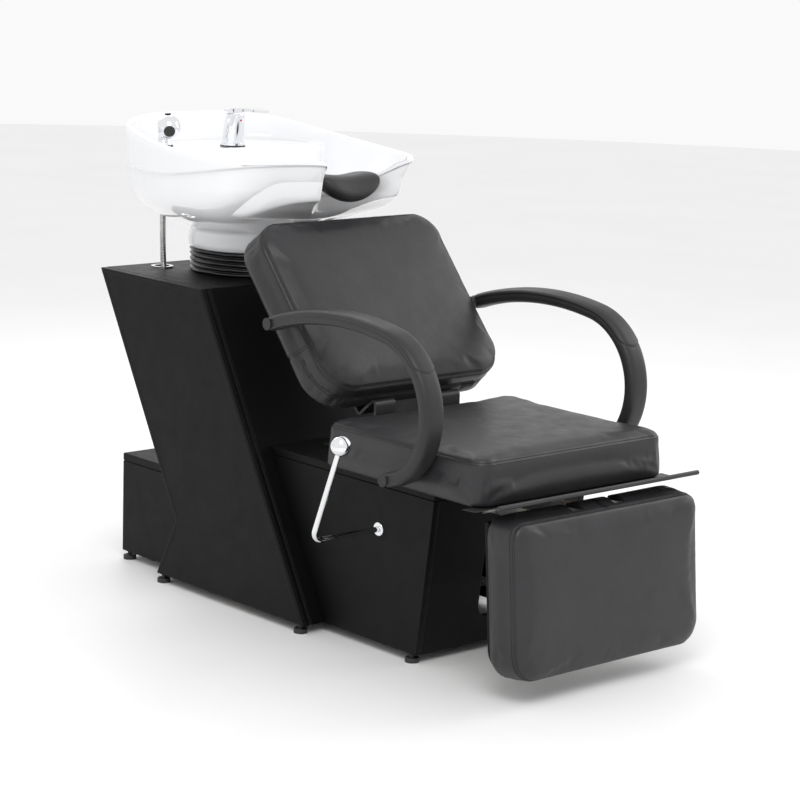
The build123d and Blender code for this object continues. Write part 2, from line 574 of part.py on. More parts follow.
def mixer():
    under = DECK_UNDER
    body = ring_z(28, 9, DECK_Z + 3, DECK_Z + 8, 0, MIXER_Y) + rod_z(11, SHANK_LOW, DECK_Z + 6, 0, MIXER_Y)
    low = Pos(0, MIXER_Y, DECK_Z + 8) * Ellipse(26, 26)
    high = Pos(0, MIXER_Y - 6, 1041) * Rot(-7, 0, 0) * Ellipse(22, 25)
    body += loft([low.face(), high.face()])
    # the cap turns about an axis that leans with the top of the body
    turning = Pos(0, *MIXER_TOP) * Rot(-MIXER_LEAN, 0, 0)
    body -= turning * Pos(0, 0, -12) * Cylinder(8, 44)
    save("mixer_body", body)
    cap = turning * (Cylinder(21, 4) + Pos(0, 0, -16) * Cylinder(8 - 2 * RUN, 30))
    cap += block(-5, 5, LIFT_PIN[0] - 7, LIFT_PIN[0] + 7, MIXER_TOP[1] - 2, LIFT_PIN[1]) + rod_x(7, -5, 5, *LIFT_PIN)
    save("mixer_cap", cap + rod_x(3, -9, 9, *LIFT_PIN))
    blade = side_plate([(MIXER_Y + 20, 1044.5), (MIXER_Y + 18, 1054), (MIXER_Y - 20, 1061), (MIXER_Y - 70, 1064),
                        (MIXER_Y - 128, 1062), (MIXER_Y - 129, 1058.5), (MIXER_Y - 70, 1057),
                        (MIXER_Y - 26, 1050)], -23, 23)
    outline = make_face(Spline((0, MIXER_Y + 21), (21, MIXER_Y), (15, MIXER_Y - 60), (11, MIXER_Y - 118),
                               (0, MIXER_Y - 129), (-11, MIXER_Y - 118), (-15, MIXER_Y - 60), (-21, MIXER_Y),
                               periodic=True))
    blade &= Pos(0, 0, 1000) * extrude(outline, 100)
    # it straddles the lug of the cap and turns on the lug's pin
    for x0, x1 in ((-12, -5.4), (5.4, 12)):
        blade += rod_x(6.5, x0, x1, *LIFT_PIN)
    blade -= block(-5.4, 5.4, LIFT_PIN[0] - 9, LIFT_PIN[0] + 40, 1030, LIFT_PIN[1] + 8.5)
    save("mixer_lever", blade - rod_x(3 + RUN, -9.3, 9.3, *LIFT_PIN))

    x, y = SPRAY
    dock = rod_z(20, DECK_Z + 3, DECK_Z + 6, x, y) + rod_z(14, 930, DECK_Z + 4, x, y)
    dock += Pos(x, y, DECK_Z + 9.5) * Cone(20, 15, 13)
    dock -= rod_z(10.2, 900, 1020, x, y)
    save("spray_dock", dock)
    gaskets = [ring_z(29, 12, DECK_Z, DECK_Z + 3, 0, MIXER_Y), ring_z(21.5, 15, DECK_Z, DECK_Z + 3, x, y)]
    save("deck_gaskets", group(gaskets))

    def locknut(inner, across, z0, z1, x, y):
        return Pos(x, y, z0) * extrude(RegularPolygon(across, 6), z1 - z0) - rod_z(inner, z0 - 1, z1 + 1, x, y)

    nuts = [locknut(11, 20, under - 9, under, 0, MIXER_Y), locknut(14, 24, under - 9, under, x, y),
            locknut(22, 33, CAVITY_TOP - 10, CAVITY_TOP, 0, DRAIN_Y)]
    save("basin_locknuts", group(nuts))


def spray():
    x, y = SPRAY
    seat_z = DECK_Z + 16.4
    head = (x, y - 18, seat_z + 28.2)
    facing = Vector(-0.5, -0.81, -0.3).normalized()
    neck = loft([(Pos(x, y, seat_z) * Circle(14)).face(), (Pos(x, y - 12, seat_z + 15.6) * Circle(20)).face()])
    handset = rod_z(9.5, 940, seat_z + 2, x, y) + neck + Pos(*head) * Sphere(28)
    front = Plane(origin=Vector(*head) + facing * 24, z_dir=facing)
    handset -= extrude(front * Circle(13), 10)
    button_at = Plane(origin=Vector(*head) + Vector(0, 3, 27), z_dir=(0, 0.1, 1))
    handset -= extrude(button_at * Circle(7.4), 6, both=True)
    save("spray_handset", handset)
    save("spray_face", extrude(front * Circle(13), 3.5))
    save("spray_button", extrude(button_at * Circle(7), 4) + extrude(button_at * Circle(7), -1.5))
    save("spray_hose_upper", rod_z(HOSE_R, 836.4, 940, x, y))
    lower = [(x, y, 836), (x, y, 738), (x + 1, y - 10, 650), (x + 2, y - 60, 560), (x + 1, y - 125, 480),
             (x + 2, y - 165, 405), (x + 46, y - 180, 360), (x + 108, y - 180, 360), (x + 150, y - 166, 405),
             (x + 149, y - 135, 485), (x + 149, y - 95, 575), (x + 149, y - 62, 675),
             (0, MIXER_Y + 10, 780), (0, MIXER_Y + 11, HOSE_TOP)]
    save("spray_hose", tube(lower, bend_radii(lower), HOSE_R))


os.makedirs("parts", exist_ok=True)
pedestal()
seat_box()
rear_box()
feet_and_rail()
seat_and_back()
save("seat_back_brackets", group([Pos(x, 0, 0) * bracket_strip() for x in (-93, 93)]))
armrests()
flap()
lever(leg_rest())
basin()
plumbing()
mixer()
spray()
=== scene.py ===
import json
from math import cos, pi, radians, sin, sqrt, tau

import bpy
import numpy as np
from mathutils import Matrix, Vector, noise
from mathutils.bvhtree import BVHTree


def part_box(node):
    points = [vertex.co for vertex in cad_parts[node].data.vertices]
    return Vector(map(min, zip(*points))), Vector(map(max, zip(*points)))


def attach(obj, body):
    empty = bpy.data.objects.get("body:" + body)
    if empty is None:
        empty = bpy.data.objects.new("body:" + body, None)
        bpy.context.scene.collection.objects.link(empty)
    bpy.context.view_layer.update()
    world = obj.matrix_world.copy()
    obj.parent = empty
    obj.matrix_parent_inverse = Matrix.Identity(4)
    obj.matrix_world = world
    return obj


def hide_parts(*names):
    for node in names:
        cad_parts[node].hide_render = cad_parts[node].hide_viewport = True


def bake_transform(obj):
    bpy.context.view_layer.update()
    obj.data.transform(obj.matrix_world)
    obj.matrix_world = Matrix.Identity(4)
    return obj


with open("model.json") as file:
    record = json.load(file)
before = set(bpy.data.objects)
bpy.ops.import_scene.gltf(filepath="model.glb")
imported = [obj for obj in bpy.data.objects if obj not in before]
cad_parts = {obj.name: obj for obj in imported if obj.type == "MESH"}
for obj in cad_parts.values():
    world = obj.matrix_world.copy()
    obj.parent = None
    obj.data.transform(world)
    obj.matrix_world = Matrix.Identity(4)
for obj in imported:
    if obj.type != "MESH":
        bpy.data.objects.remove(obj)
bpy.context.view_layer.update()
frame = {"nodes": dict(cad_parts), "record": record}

# The looks of a salon backwash unit. Metres, +Z up, the sitter faces -Y, X = 0 is the plane of symmetry.
# Shapes are written in millimetres, and MM turns them into metres.
MM = 0.001
NODES = frame["nodes"]


# ---------------------------------------------------------------- camera, floor and light
def place_camera():
    azimuth, elevation, roll = radians(-42.21), radians(11.16), radians(1.93)
    target = Vector((0, -0.300, 0.4859))
    distance = 5.2663
    back = Vector((sin(azimuth) * cos(elevation), -cos(azimuth) * cos(elevation), sin(elevation)))
    level = Vector((cos(azimuth), sin(azimuth), 0))
    upright = back.cross(level)
    right = level * cos(roll) + upright * sin(roll)
    up = upright * cos(roll) - level * sin(roll)
    camera = bpy.data.objects.new("camera", bpy.data.cameras.new("camera"))
    bpy.context.scene.collection.objects.link(camera)
    turn = Matrix((right, up, back)).transposed().to_4x4()
    camera.matrix_world = Matrix.Translation(target + back * distance) @ turn
    camera.data.lens = 110.4
    camera.data.shift_x = -0.0277
    camera.data.shift_y = 0.0015
    bpy.context.scene.camera = camera


def softbox(name, place, aim, size, power):
    lamp = bpy.data.lights.new(name, "AREA")
    lamp.shape = "RECTANGLE"
    lamp.size, lamp.size_y = size
    lamp.energy = power
    box = bpy.data.objects.new(name, lamp)
    bpy.context.scene.collection.objects.link(box)
    box.location = place
    box.rotation_euler = (Vector(aim) - Vector(place)).to_track_quat("-Z", "Y").to_euler()


def light_the_room():
    scene = bpy.context.scene
    scene.view_settings.view_transform = "Standard"
    world = bpy.data.worlds.new("studio")
    world.use_nodes = True
    world.node_tree.nodes["Background"].inputs["Color"].default_value = (1.0, 1.0, 1.0, 1)
    world.node_tree.nodes["Background"].inputs["Strength"].default_value = 0.95
    scene.world = world
    softbox("key_light", (-1.6, -2.2, 3.2), (0, -0.2, 0.5), (1.8, 1.8), 42)
    softbox("side_light", (2.6, -1.2, 1.9), (0, -0.3, 0.6), (1.2, 2.0), 20)
    softbox("back_light", (0.6, 2.4, 2.6), (0, 0.1, 0.8), (2.4, 1.2), 26)


# ---------------------------------------------------------------- materials
def node_of(tree, kind, **inputs):
    made = tree.nodes.new(kind)
    for name, value in inputs.items():
        made.inputs[name.replace("_", " ")].default_value = value
    return made


def look(name, colour, rough, metallic=0.0, shift=0.15, mottle=9.0, spread=0.05, bumps=(), **sockets):
    """A surface with cloudy changes of colour and roughness, and bumps given as (kind, scale, height in mm)."""
    material = bpy.data.materials.new(name)
    material.use_nodes = True
    tree = material.node_tree
    shader = tree.nodes["Principled BSDF"]
    shader.inputs["Metallic"].default_value = metallic
    for socket, value in sockets.items():
        shader.inputs[socket.replace("_", " ")].default_value = value
    place = tree.nodes.new("ShaderNodeTexCoord").outputs["Object"]
    clouds = node_of(tree, "ShaderNodeTexNoise", Scale=mottle, Detail=5.0, Roughness=0.6)
    tree.links.new(place, clouds.inputs["Vector"])
    ramp = tree.nodes.new("ShaderNodeValToRGB")
    for stop, at, factor in ((0, 0.36, 1 - shift), (1, 0.66, 1 + shift)):
        ramp.color_ramp.elements[stop].position = at
        ramp.color_ramp.elements[stop].color = (*[min(1.0, c * factor) for c in colour], 1)
    tree.links.new(clouds.outputs["Fac"], ramp.inputs["Fac"])
    tree.links.new(ramp.outputs["Color"], shader.inputs["Base Color"])
    smudges = node_of(tree, "ShaderNodeTexNoise", Scale=mottle * 2.7, Detail=6.0, Roughness=0.7)
    tree.links.new(place, smudges.inputs["Vector"])
    range_node = node_of(tree, "ShaderNodeMapRange", From_Min=0.3, From_Max=0.7, To_Min=rough - spread,
                         To_Max=rough + spread)
    tree.links.new(smudges.outputs["Fac"], range_node.inputs["Value"])
    tree.links.new(range_node.outputs["Result"], shader.inputs["Roughness"])
    normal = None
    for kind, scale, height in bumps:
        if kind == "cells":
            pattern = node_of(tree, "ShaderNodeTexVoronoi", Scale=scale, Randomness=0.9)
            value = pattern.outputs["Distance"]
        else:
            pattern = node_of(tree, "ShaderNodeTexNoise", Scale=scale, Detail=4.0, Roughness=0.55)
            value = pattern.outputs["Fac"]
        tree.links.new(place, pattern.inputs["Vector"])
        bump = node_of(tree, "ShaderNodeBump", Strength=1.0, Distance=height * MM)
        tree.links.new(value, bump.inputs["Height"])
        if normal:
            tree.links.new(normal, bump.inputs["Normal"])
        normal = bump.outputs["Normal"]
    if normal:
        tree.links.new(normal, shader.inputs["Normal"])
    return material


LEATHER_GRAIN = (("noise", 14, 1.2), ("cells", 420, 0.16), ("noise", 1100, 0.05))
LOOKS = {
    "vinyl": look("soft_leatherette", (0.022, 0.022, 0.024), 0.42, shift=0.12, spread=0.07, bumps=LEATHER_GRAIN,
                  Specular_IOR_Level=0.42),
    "vinyl_panel": look("cabinet_leatherette", (0.0022, 0.0022, 0.0025), 0.5, spread=0.06,
                        bumps=(("noise", 9, 0.6), ("cells", 650, 0.12)), Specular_IOR_Level=0.16),
    "moulded_black": look("satin_moulding", (0.020, 0.020, 0.021), 0.46, shift=0.08,
                          bumps=(("noise", 900, 0.05),), Specular_IOR_Level=0.4),
    "foot_plastic": look("foot_plastic", (0.02, 0.02, 0.02), 0.55, bumps=(("noise", 300, 0.05),)),
    "black_steel": look("black_powder_coat", (0.02, 0.02, 0.021), 0.38, bumps=(("noise", 1500, 0.04),)),
    "zinc_steel": look("zinc_plate", (0.60, 0.60, 0.58), 0.34, metallic=1.0, spread=0.1, mottle=30,
                       bumps=(("noise", 500, 0.03),)),
    "chrome": look("polished_chrome", (0.84, 0.85, 0.87), 0.06, metallic=1.0, shift=0.03, spread=0.025,
                   bumps=(("noise", 25, 0.06),)),
    "brass": look("plain_brass", (0.66, 0.45, 0.16), 0.3, metallic=1.0, mottle=25, bumps=(("noise", 300, 0.03),)),
    "rubber": look("glossy_rubber", (0.006, 0.006, 0.007), 0.22, spread=0.06, bumps=(("noise", 60, 0.5),)),
    "ceramic": look("white_glaze", (0.87, 0.875, 0.89), 0.09, shift=0.012, mottle=5, spread=0.03,
                    bumps=(("noise", 7, 0.5),), Coat_Weight=0.6, Coat_Roughness=0.04),
    "pipe_plastic": look("pipe_plastic", (0.72, 0.72, 0.70), 0.45, bumps=(("noise", 200, 0.05),)),
    "gloss_black": look("gloss_black", (0.012, 0.012, 0.012), 0.16, bumps=(("noise", 60, 0.05),)),
    "nylon": look("white_nylon", (0.75, 0.75, 0.70), 0.42, bumps=(("noise", 400, 0.03),)),
    "pad": look("pebbled_gel_pad", (0.012, 0.012, 0.013), 0.48, bumps=(("cells", 330, 0.5), ("noise", 900, 0.1))),
    "plywood": look("plywood", (0.50, 0.36, 0.20), 0.6, shift=0.25, mottle=40, bumps=(("noise", 120, 0.2),)),
}
THREAD = look("seam_thread", (0.010, 0.010, 0.011), 0.6, mottle=200, bumps=(("noise", 2500, 0.1),))
RED_MARK = look("red_mark", (0.55, 0.01, 0.03), 0.25, bumps=(("noise", 200, 0.02),))
HOSE_METAL = look("hose_metal", (0.50, 0.49, 0.48), 0.22, metallic=1.0, mottle=60, bumps=(("noise", 400, 0.05),))
BRAID = look("steel_braid", (0.55, 0.55, 0.55), 0.35, metallic=1.0, mottle=80, bumps=(("cells", 900, 0.6),))


# ---------------------------------------------------------------- mesh helpers
def new_piece(name, points, faces, material, body="root", replaced=()):
    mesh = bpy.data.meshes.new(name)
    mesh.from_pydata(np.asarray(points, float).reshape(-1, 3).tolist(), [], faces)
    mesh.polygons.foreach_set("use_smooth", [True] * len(mesh.polygons))
    mesh.materials.append(material)
    piece = bpy.data.objects.new(name, mesh)
    bpy.context.scene.collection.objects.link(piece)
    if body:
        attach(piece, body)
    if replaced:
        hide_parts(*replaced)
    return piece


def skin_faces(rings, around, loop_back=False, start=0, capped=False):
    """Quads between rings of points; the rings close in a loop, or are capped by an n-gon at both ends."""
    faces = []
    for i in range(rings if loop_back else rings - 1):
        low, high = start + i * around, start + (i + 1) % rings * around
        for j in range(around):
            k = (j + 1) % around
            faces.append((low + j, low + k, high + k, high + j))
    if capped:
        faces.append(tuple(start + j for j in reversed(range(around))))
        faces.append(tuple(start + (rings - 1) * around + j for j in range(around)))
    return faces


def smooth_step(low, high, value):
    t = np.clip((np.asarray(value, float) - low) / (high - low), 0, 1)
    return t * t * (3 - 2 * t)


def soft_max(a, b, blend):
    h = np.maximum(blend - np.abs(a - b), 0) / blend
    return np.maximum(a, b) + h * h * blend / 4


def curve_through(points, per_span, closed=False):
    """A smooth line through the points, with centripetal-like tangents at each."""
    p = np.asarray(points, float)
    count = len(p)
    made = []
    for i in range(count if closed else count - 1):
        if closed:
            a, b, c, d = (p[(i + k) % count] for k in (-1, 0, 1, 2))
        else:
            a, b, c, d = (p[min(max(i + k, 0), count - 1)] for k in (-1, 0, 1, 2))
        ab, bc, cd = (max(np.linalg.norm(v), 1e-9) for v in (b - a, c - b, d - c))
        tangent_b = bc * (c - a) / (ab + bc)
        tangent_c = bc * (d - b) / (bc + cd)
        for t in np.arange(per_span) / per_span:
            made.append(b * (1 + 2 * t) * (1 - t) ** 2 + tangent_b * t * (1 - t) ** 2
                        + c * t * t * (3 - 2 * t) + tangent_c * t * t * (t - 1))
    if not closed:
        made.append(p[-1])
    return np.array(made)


def even_steps(points, pitch, closed=False):
    """The same line with its points a pitch apart."""
    p = np.asarray(points, float)
    if closed:
        p = np.vstack([p, p[:1]])
    at = np.concatenate([[0], np.cumsum(np.linalg.norm(np.diff(p, axis=0), axis=1))])
    count = max(2, int(round(at[-1] / pitch)))
    stops = np.linspace(0, at[-1], count + 1)
    if closed:
        stops = stops[:-1]
    return np.array([np.interp(stops, at, p[:, k]) for k in range(p.shape[1])]).T


def tube_points(path, radii, sides, closed=False):
    """Rings of points round a path, without twist."""
    p = np.asarray(path, float)
    tangents = np.roll(p, -1, 0) - np.roll(p, 1, 0) if closed else np.gradient(p, axis=0)
    tangents /= np.linalg.norm(tangents, axis=1)[:, None]
    side = np.cross(tangents[0], (0.31, 0.17, 0.93))
    rings = []
    for centre, tangent, radius in zip(p, tangents, radii):
        side = side - tangent * (side @ tangent)
        side /= np.linalg.norm(side)
        up = np.cross(tangent, side)
        angles = np.arange(sides) * tau / sides
        rings.append(centre + radius * (np.cos(angles)[:, None] * side + np.sin(angles)[:, None] * up))
    return np.concatenate(rings)


def stitches(name, rows, pitch=5.2, long=3.5, thick=0.55, body="root"):
    """Short threads laid along lines given as (points, normals, closed), all in one piece."""
    points, faces = [], []
    profile = ((-0.5, 0.35), (-0.32, 1.0), (0.32, 1.0), (0.5, 0.35))
    sides = 6
    angles = np.arange(sides) * tau / sides
    for line, normals, closed in rows:
        both = even_steps(np.hstack([line, normals]), pitch * MM, closed)
        places, ups = both[:, :3], both[:, 3:]
        along = np.roll(places, -1, 0) - np.roll(places, 1, 0) if closed else np.gradient(places, axis=0)
        for place, up, tangent in zip(places, ups, along):
            tangent = tangent / np.linalg.norm(tangent)
            up = up - tangent * (up @ tangent)
            up /= np.linalg.norm(up)
            side = np.cross(tangent, up)
            start = len(points)
            for at, share in profile:
                centre = place + up * thick * MM * (0.1 if share < 1 else 0.5) + tangent * at * long * MM
                for angle in angles:
                    points.append(centre + share * thick * MM * (cos(angle) * side + sin(angle) * up))
            faces += skin_faces(len(profile), sides, start=start, capped=True)
    return new_piece(name, points, faces, THREAD, body=body)


def seam_cord(name, line, radius, closed=True, body="root", material=None):
    path = even_steps(line, 4 * MM, closed)
    points = tube_points(path, [radius * MM] * len(path), 8, closed)
    faces = skin_faces(len(path), 8, loop_back=closed, capped=not closed)
    return new_piece(name, points, faces, material or THREAD, body=body)


def edge_copy(node, width, body="root"):
    """A copy of a CAD node with its edges rounded as a board wrapped in leatherette has them."""
    source = NODES[node]
    piece = bpy.data.objects.new(node + "_wrapped", source.data.copy())
    bpy.context.scene.collection.objects.link(piece)
    bpy.context.view_layer.objects.active = piece
    weld = piece.modifiers.new("weld", "WELD")
    weld.merge_threshold = 0.01 * MM
    flat = piece.modifiers.new("flat", "DECIMATE")
    flat.decimate_type = "DISSOLVE"
    flat.angle_limit = radians(1)
    bevel = piece.modifiers.new("bevel", "BEVEL")
    bevel.width = width * MM
    bevel.segments = 3
    bevel.limit_method = "ANGLE"
    bevel.angle_limit = radians(30)
    settle(piece)
    finish_piece(piece, LOOKS["vinyl_panel"], body, (node,))
    return piece


def settle(piece):
    """Applies the modifiers of a piece to its mesh."""
    bpy.context.view_layer.update()
    made = bpy.data.meshes.new_from_object(piece.evaluated_get(bpy.context.evaluated_depsgraph_get()))
    piece.modifiers.clear()
    piece.data = made


def finish_piece(piece, material, body, replaced=()):
    piece.data.materials.clear()
    piece.data.materials.append(material)
    piece.data.polygons.foreach_set("material_index", [0] * len(piece.data.polygons))
    if body:
        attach(piece, body)
    if replaced:
        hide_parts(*replaced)


# ---------------------------------------------------------------- cushions
def outline(half, low, high, radii, inset=0.0, corner_steps=14, side_steps=22):
    """Points of a rounded rectangle, anticlockwise from the lower left; radii are (low pair, high pair)."""
    half, low, high = half - inset, low + inset, high - inset
    room = 0.98 * min(half, (high - low) / 2)
    low_r, high_r = (min(max(r - inset, 0.4 * r), room) for r in radii)
    corners = [(-half, low, low_r, pi), (half, low, low_r, 1.5 * pi), (half, high, high_r, 0), (-half, high, high_r,
                                                                                              0.5 * pi)]
    points = []
    for x, y, r, start in corners:
        cx = x + (r if x < 0 else -r)
        cy = y + (r if y == low else -r)
        for k in range(corner_steps + 1):
            angle = start + 0.5 * pi * k / corner_steps
            points.append((cx + r * cos(angle), cy + r * sin(angle)))
    made = []
    span = corner_steps + 1
    for c in range(4):
        arc = points[c * span:(c + 1) * span]
        following = points[(c + 1) % 4 * span]
        made += arc
        for k in range(1, side_steps):
            t = k / side_steps
            made.append((arc[-1][0] * (1 - t) + following[0] * t, arc[-1][1] * (1 - t) + following[1] * t))
    return np.array(made)


def cushion_start(half, low, high, radii, profile, crown):
    """A closed form whose profile is (inset, height) pairs from the bottom edge to the top edge."""
    rings = []
    deepest = min(half, (high - low) / 2)

    def ring(inset, z):
        flat = outline(half, low, high, radii, inset)
        rings.append(np.column_stack([flat, np.full(len(flat), z)]))

    first_inset, first_z = profile[0]
    for share in (0.96, 0.6, 0.25):
        ring(share * deepest, first_z)
    for inset, z in profile:
        ring(inset, z)
    last_inset, last_z = profile[-1]
    for share in (0.04, 0.12, 0.25, 0.4, 0.6, 0.8, 0.96):
        ring(last_inset + share * (deepest - last_inset), last_z + crown * (1 - (1 - share) ** 2.6))
    return np.concatenate(rings), skin_faces(len(rings), len(rings[0]), capped=True)


def inflate(piece, pressure, cap, held_below):
    """Swells the cover by cloth simulation; no point moves further than cap, and the back stays on its board."""
    rest = vertex_array(piece)
    cloth = piece.modifiers.new("Cloth", "CLOTH")
    held = piece.vertex_groups.new(name="held")
    low_points = np.nonzero(rest[:, 2] < held_below)[0]
    held.add([int(i) for i in low_points], 1.0, "REPLACE")
    settings = cloth.settings
    settings.quality = 4
    settings.use_pressure = True
    settings.uniform_pressure_force = pressure
    settings.effector_weights.gravity = 0
    settings.vertex_group_mass = "held"
    settings.tension_stiffness = settings.compression_stiffness = 12
    settings.bending_stiffness = 2
    cloth.collision_settings.use_collision = False
    cloth.point_cache.frame_start, cloth.point_cache.frame_end = 1, 20
    scene = bpy.context.scene
    for step in range(1, 21):
        scene.frame_set(step)
    moved = np.empty(len(rest) * 3)
    bpy.context.view_layer.update()
    swollen = piece.evaluated_get(bpy.context.evaluated_depsgraph_get()).to_mesh()
    swollen.vertices.foreach_get("co", moved)
    piece.modifiers.remove(cloth)
    piece.vertex_groups.clear()
    scene.frame_set(1)
    shift = moved.reshape(-1, 3) - rest
    length = np.linalg.norm(shift, axis=1)
    shift *= np.minimum(1, cap / np.maximum(length, 1e-9))[:, None]
    piece.data.vertices.foreach_set("co", (rest + shift).ravel())
    piece.data.update()


def vertex_array(piece):
    found = np.empty(len(piece.data.vertices) * 3)
    piece.data.vertices.foreach_get("co", found)
    return found.reshape(-1, 3)


def dent(piece, lines, width, depth):
    """Presses the surface in along lines of points, as a sewn seam pulls a cover in."""
    co = vertex_array(piece)
    normals = np.empty(len(co) * 3)
    piece.data.vertices.foreach_get("normal", normals)
    normals = normals.reshape(-1, 3)
    push = np.zeros(len(co))
    for line in lines:
        dense = even_steps(line, 2.5 * MM)
        near = np.full(len(co), 1.0)
        low, high = dense.min(0) - 4 * width, dense.max(0) + 4 * width
        inside = np.nonzero(((co > low) & (co < high)).all(1))[0]
        for part in np.array_split(inside, max(1, len(inside) // 4000)):
            near[part] = np.linalg.norm(co[part][:, None, :] - dense[None], axis=2).min(1)
        push = np.maximum(push, depth * np.exp(-((near / width) ** 2)))
    piece.data.vertices.foreach_set("co", (co - normals * push[:, None]).ravel())
    piece.data.update()


class Cover:
    """The finished surface of a cushion, to lay seams and stitches on."""

    def __init__(self, piece):
        self.tree = BVHTree.FromPolygons([v.co for v in piece.data.vertices],
                                         [tuple(p.vertices) for p in piece.data.polygons])

    def lay(self, starts, ways, closed=True):
        """Casts each start along its way onto the cover and returns (points, normals, closed)."""
        points, normals = [], []
        for start, way in zip(starts, ways):
            spot, normal, _, _ = self.tree.ray_cast(Vector(start), Vector(way).normalized())
            if spot is not None:
                points.append(spot)
                normals.append(normal)
        return np.array(points), np.array(normals), closed


def round_line(shape, z, reach=60 * MM):
    """Starts and ways for a line round the sides of a cushion at one height."""
    flat = outline(*shape)
    centre = np.array([0, (shape[1] + shape[2]) / 2])
    steps = np.roll(flat, -1, 0) - np.roll(flat, 1, 0)
    outward = np.column_stack([steps[:, 1], -steps[:, 0]])
    outward /= np.linalg.norm(outward, axis=1)[:, None]
    outward *= np.sign(((flat - centre) * outward).sum(1))[:, None]
    heights = z(flat) if callable(z) else np.full(len(flat), z)
    starts = np.column_stack([flat + outward * reach, heights])
    return starts, np.column_stack([-outward, np.zeros(len(flat))])


def make_cushion(name, node, body, shape, profile, crown, pressure, cap, voxel=6.0):
    """Builds, remeshes and swells one cushion in its own flat frame."""
    points, faces = cushion_start(*shape, profile, crown)
    piece = new_piece(name, points, faces, LOOKS["vinyl"], body=None)
    remesh = piece.modifiers.new("remesh", "REMESH")
    remesh.mode = "VOXEL"
    remesh.voxel_size = voxel * MM
    settle(piece)
    inflate(piece, pressure, cap * MM, profile[0][1] + 12 * MM)
    finer = piece.modifiers.new("finer", "SUBSURF")
    finer.levels = finer.render_levels = 1
    settle(piece)
    piece.data.polygons.foreach_set("use_smooth", [True] * len(piece.data.polygons))
    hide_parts(node)
    return piece


def place_pieces(matrix, body, pieces):
    for piece in pieces:
        piece.parent = None
        piece.data.transform(matrix)
        piece.matrix_world = Matrix.Identity(4)
        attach(piece, body)


def tilted(y, z, degrees):
    """The frame of a leaning cushion: X across, Y up its slope, Z out of its front face."""
    lean = radians(degrees)
    across, up, out = Vector((1, 0, 0)), Vector((0, sin(lean), cos(lean))), Vector((0, -cos(lean), sin(lean)))
    turn = Matrix((across, up, out)).transposed().to_4x4()
    return Matrix.Translation((0, y * MM, z * MM)) @ turn


def in_mm(pairs):
    return [(a * MM, b * MM) for a, b in pairs]


def seat():
    low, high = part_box("seat_cushion")
    shape = (high.x + 4 * MM, low.y - 3 * MM, high.y, (38 * MM, 30 * MM))
    thick = high.z - low.z
    seam_z = thick - 10 * MM
    profile = in_mm([(8, 0), (2, 2), (0.5, 8), (0.5, 30), (0.5, 60), (0.5, 80), (1.5, 88), (3.5, 91), (8, 93.5),
                     (16, 95.5)])
    piece = make_cushion("seat_cover", "seat_cushion", "root", shape, profile, 4 * MM, 3.5, 5)
    cover = Cover(piece)
    seam = cover.lay(*round_line(shape, seam_z))
    dent(piece, [np.vstack([seam[0], seam[0][:1]])], 4 * MM, 2.2 * MM)
    cover = Cover(piece)
    seam = cover.lay(*round_line(shape, seam_z))
    row = cover.lay(*round_line(shape, seam_z - 4.5 * MM))
    pieces = [piece, seam_cord("seat_seam", seam[0], 0.8, body=None), stitches("seat_stitches", [row], body=None)]
    place_pieces(Matrix.Translation((0, 0, low.z)), "root", pieces)


def backrest():
    shape = (260 * MM, -26 * MM, 410 * MM, (84 * MM, 72 * MM))
    profile = in_mm([(14, -80), (6, -77), (2, -70), (0, -58), (0, -35), (0, -14), (0.8, -4), (2, 0), (5, 4), (10, 7),
                     (18, 10)])
    piece = make_cushion("back_cover", "back_cushion", "root", shape, profile, 6 * MM, 3.5, 6)
    place = tilted(-284, 544, 40.5)

    def lower_edge(flat):
        """The height of the second seam of the boxing: level low down; the side seams run it up to the first one at
        both sides.
        """
        return -34 * MM + 0 * flat[:, 0]

    t_y = 96 * MM
    cover = Cover(piece)
    lines = [cover.lay(*round_line(shape, 0.0))]
    for side in (-1, 1):
        heights = np.linspace(-2, -78, 20) * MM
        starts = [(side * 320 * MM, t_y - 0.16 * z, z) for z in heights]
        lines.append(cover.lay(starts, [(-side, 0, 0)] * len(starts), False))
    below = round_line(shape, lower_edge)
    keep = below[0][:, 1] < t_y
    under_starts, under_ways = arrange(below[0][keep]), arrange(below[1][keep], below[0][keep])
    lines.append(cover.lay(under_starts, under_ways, False))
    closed_first = np.vstack([lines[0][0], lines[0][0][:1]])
    dent(piece, [closed_first] + [line[0] for line in lines[1:]], 4 * MM, 2.4 * MM)
    cover = Cover(piece)
    seams, rows = [], []
    seams.append(cover.lay(*round_line(shape, 0.0)))
    rows += [cover.lay(*round_line(shape, z * MM)) for z in (-5.5, 4.5)]
    for side in (-1, 1):
        heights = np.linspace(-2, -78, 20) * MM
        for offset in (0, 5):
            starts = [(side * 320 * MM, t_y - 0.16 * z + offset * MM, z) for z in heights]
            line = cover.lay(starts, [(-side, 0, 0)] * len(starts), False)
            (rows if offset else seams).append(line)
    seams.append(cover.lay(under_starts, under_ways, False))
    lower = under_starts - np.array([0, 0, 5 * MM])
    rows.append(cover.lay(lower, under_ways, False))
    pieces = [piece, stitches("back_stitches", rows, body=None)]
    for number, (line, _, closed) in enumerate(seams):
        pieces.append(seam_cord(f"back_seam_{number}", line, 0.8, closed, body=None))
    place_pieces(place, "root", pieces)


def arrange(values, by=None):
    """Orders the points of an open stretch of outline so that it starts at its own gap."""
    key = values if by is None else by
    gaps = np.linalg.norm(np.diff(key, axis=0), axis=1)
    cut = int(np.argmax(gaps)) + 1
    if gaps.max() < 3 * np.median(gaps):
        cut = 0
    return np.roll(values, -cut, axis=0)


